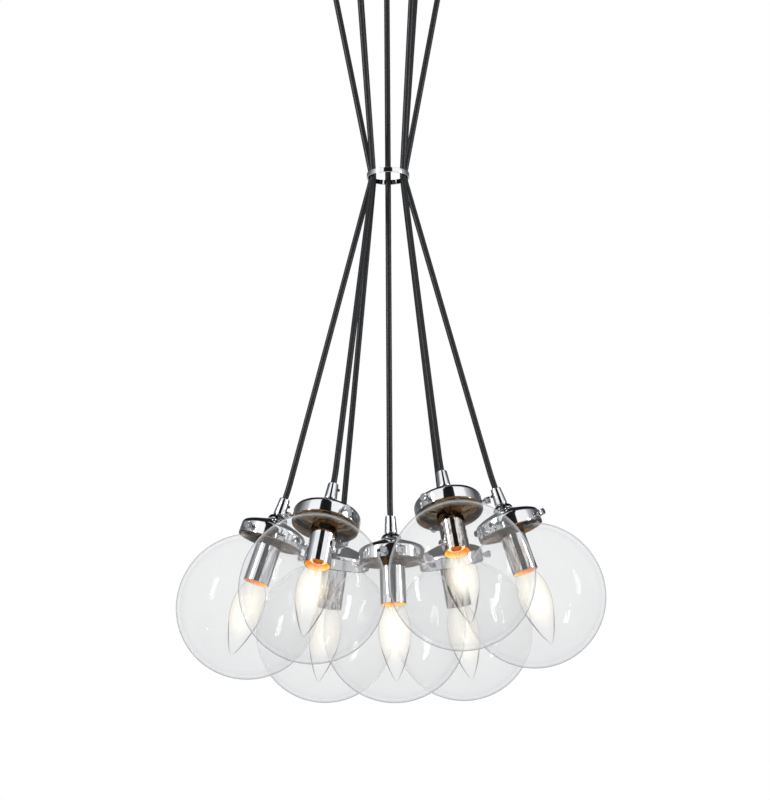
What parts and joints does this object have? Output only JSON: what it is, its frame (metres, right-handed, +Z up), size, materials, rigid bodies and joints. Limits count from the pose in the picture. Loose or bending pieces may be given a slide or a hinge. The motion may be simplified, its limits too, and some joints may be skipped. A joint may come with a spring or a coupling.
{
  "type": "cluster pendant light",
  "caption": "Cluster pendant light: clear glass globes with candle bulbs on black cords, gathered by a chrome ring under a round chrome canopy.",
  "frame": {"origin": "middle of the ceiling strap's top face, where the light meets the ceiling", "axes": "+Z up into the ceiling; +X to the right and +Y away, as the picture looks at the light"},
  "size_m": [0.4567, 0.4153, 0.8776],
  "materials": {
    "canopy_chrome": "polished chrome plate",
    "ring_chrome": "polished chrome plate",
    "lamp_chrome": "polished chrome plate",
    "strap_steel": "zinc plated",
    "cord_black": "satin black sheath",
    "lampholder_cream": "satin",
    "bulb_glass": "clear, lit warm white",
    "globe_glass": "clear blown glass"
  },
  "bodies": {
    "canopy_and_cords": {"canopy": "canopy_chrome", "ceiling_strap": "strap_steel", "canopy_nut_front": "canopy_chrome", "canopy_nut_back": "canopy_chrome", "gathering_ring": "ring_chrome", "cord_centre": "cord_black", "cord_upper_right": "cord_black", "cord_upper_back_right": "cord_black", "cord_upper_back_left": "cord_black", "cord_upper_left": "cord_black", "cord_upper_front_left": "cord_black", "cord_upper_front_right": "cord_black", "grip_centre": "lamp_chrome", "fitter_centre": "lamp_chrome", "socket_cover_centre": "lamp_chrome", "lampholder_centre": "lampholder_cream"},
    "lamp_right": {"cord_lower_right": "cord_black", "grip_right": "lamp_chrome", "fitter_right": "lamp_chrome", "socket_cover_right": "lamp_chrome", "lampholder_right": "lampholder_cream"},
    "lamp_back_right": {"cord_lower_back_right": "cord_black", "grip_back_right": "lamp_chrome", "fitter_back_right": "lamp_chrome", "socket_cover_back_right": "lamp_chrome", "lampholder_back_right": "lampholder_cream"},
    "lamp_back_left": {"cord_lower_back_left": "cord_black", "grip_back_left": "lamp_chrome", "fitter_back_left": "lamp_chrome", "socket_cover_back_left": "lamp_chrome", "lampholder_back_left": "lampholder_cream"},
    "lamp_left": {"cord_lower_left": "cord_black", "grip_left": "lamp_chrome", "fitter_left": "lamp_chrome", "socket_cover_left": "lamp_chrome", "lampholder_left": "lampholder_cream"},
    "lamp_front_left": {"cord_lower_front_left": "cord_black", "grip_front_left": "lamp_chrome", "fitter_front_left": "lamp_chrome", "socket_cover_front_left": "lamp_chrome", "lampholder_front_left": "lampholder_cream"},
    "lamp_front_right": {"cord_lower_front_right": "cord_black", "grip_front_right": "lamp_chrome", "fitter_front_right": "lamp_chrome", "socket_cover_front_right": "lamp_chrome", "lampholder_front_right": "lampholder_cream"},
    "globe_right": {"globe_right": "globe_glass"},
    "globe_back_right": {"globe_back_right": "globe_glass"},
    "globe_back_left": {"globe_back_left": "globe_glass"},
    "globe_left": {"globe_left": "globe_glass"},
    "globe_front_left": {"globe_front_left": "globe_glass"},
    "globe_front_right": {"globe_front_right": "globe_glass"},
    "globe_centre": {"globe_centre": "globe_glass"},
    "bulb_right": {"bulb_right": "bulb_glass"},
    "bulb_back_right": {"bulb_back_right": "bulb_glass"},
    "bulb_back_left": {"bulb_back_left": "bulb_glass"},
    "bulb_left": {"bulb_left": "bulb_glass"},
    "bulb_front_left": {"bulb_front_left": "bulb_glass"},
    "bulb_front_right": {"bulb_front_right": "bulb_glass"},
    "bulb_centre": {"bulb_centre": "bulb_glass"}
  },
  "joints": [
    {"name": "swing_right", "type": "hinge", "parent": "canopy_and_cords", "child": "lamp_right", "pos_m": [0.01847, 0, -0.29674], "axis": [0, -1, 0], "range_deg": [0, 25]},
    {"name": "swing_back_right", "type": "hinge", "parent": "canopy_and_cords", "child": "lamp_back_right", "pos_m": [0.01643, 0.00796, -0.29674], "axis": [0.915, -0.4035, 0], "range_deg": [0, 25]},
    {"name": "swing_back_left", "type": "hinge", "parent": "canopy_and_cords", "child": "lamp_back_left", "pos_m": [-0.01643, 0.00796, -0.29674], "axis": [0.915, 0.4035, 0], "range_deg": [0, 25]},
    {"name": "swing_left", "type": "hinge", "parent": "canopy_and_cords", "child": "lamp_left", "pos_m": [-0.01845, 0, -0.29674], "axis": [0, 1, 0], "range_deg": [0, 25]},
    {"name": "swing_front_left", "type": "hinge", "parent": "canopy_and_cords", "child": "lamp_front_left", "pos_m": [-0.01643, -0.00795, -0.29674], "axis": [-0.915, 0.4035, 0], "range_deg": [0, 25]},
    {"name": "swing_front_right", "type": "hinge", "parent": "canopy_and_cords", "child": "lamp_front_right", "pos_m": [0.01644, -0.00798, -0.29673], "axis": [-0.915, -0.4035, 0], "range_deg": [0, 25]},
    {"name": "globe_removal_right", "type": "slide", "parent": "lamp_right", "child": "globe_right", "axis": [0.3206, 0, -0.9472], "range_m": [0, 0.145]},
    {"name": "globe_removal_back_right", "type": "slide", "parent": "lamp_back_right", "child": "globe_back_right", "axis": [0.1603, 0.2777, -0.9472], "range_m": [0, 0.145]},
    {"name": "globe_removal_back_left", "type": "slide", "parent": "lamp_back_left", "child": "globe_back_left", "axis": [-0.1603, 0.2777, -0.9472], "range_m": [0, 0.145]},
    {"name": "globe_removal_left", "type": "slide", "parent": "lamp_left", "child": "globe_left", "axis": [-0.3206, 0, -0.9472], "range_m": [0, 0.145]},
    {"name": "globe_removal_front_left", "type": "slide", "parent": "lamp_front_left", "child": "globe_front_left", "axis": [-0.1603, -0.2777, -0.9472], "range_m": [0, 0.145]},
    {"name": "globe_removal_front_right", "type": "slide", "parent": "lamp_front_right", "child": "globe_front_right", "axis": [0.1603, -0.2777, -0.9472], "range_m": [0, 0.145]},
    {"name": "globe_removal_centre", "type": "slide", "parent": "canopy_and_cords", "child": "globe_centre", "axis": [0.0314, 0, -0.9995], "range_m": [0, 0.145]},
    {"name": "bulb_unscrew_right", "type": "slide", "parent": "lamp_right", "child": "bulb_right", "axis": [0.3206, 0, -0.9472], "range_m": [0, 0.01]},
    {"name": "bulb_unscrew_back_right", "type": "slide", "parent": "lamp_back_right", "child": "bulb_back_right", "axis": [0.1603, 0.2777, -0.9472], "range_m": [0, 0.01]},
    {"name": "bulb_unscrew_back_left", "type": "slide", "parent": "lamp_back_left", "child": "bulb_back_left", "axis": [-0.1603, 0.2777, -0.9472], "range_m": [0, 0.01]},
    {"name": "bulb_unscrew_left", "type": "slide", "parent": "lamp_left", "child": "bulb_left", "axis": [-0.3206, 0, -0.9472], "range_m": [0, 0.01]},
    {"name": "bulb_unscrew_front_left", "type": "slide", "parent": "lamp_front_left", "child": "bulb_front_left", "axis": [-0.1603, -0.2777, -0.9472], "range_m": [0, 0.01]},
    {"name": "bulb_unscrew_front_right", "type": "slide", "parent": "lamp_front_right", "child": "bulb_front_right", "axis": [0.1603, -0.2777, -0.9472], "range_m": [0, 0.01]},
    {"name": "bulb_unscrew_centre", "type": "slide", "parent": "canopy_and_cords", "child": "bulb_centre", "axis": [0.0314, 0, -0.9995], "range_m": [0, 0.01]}
  ]
}
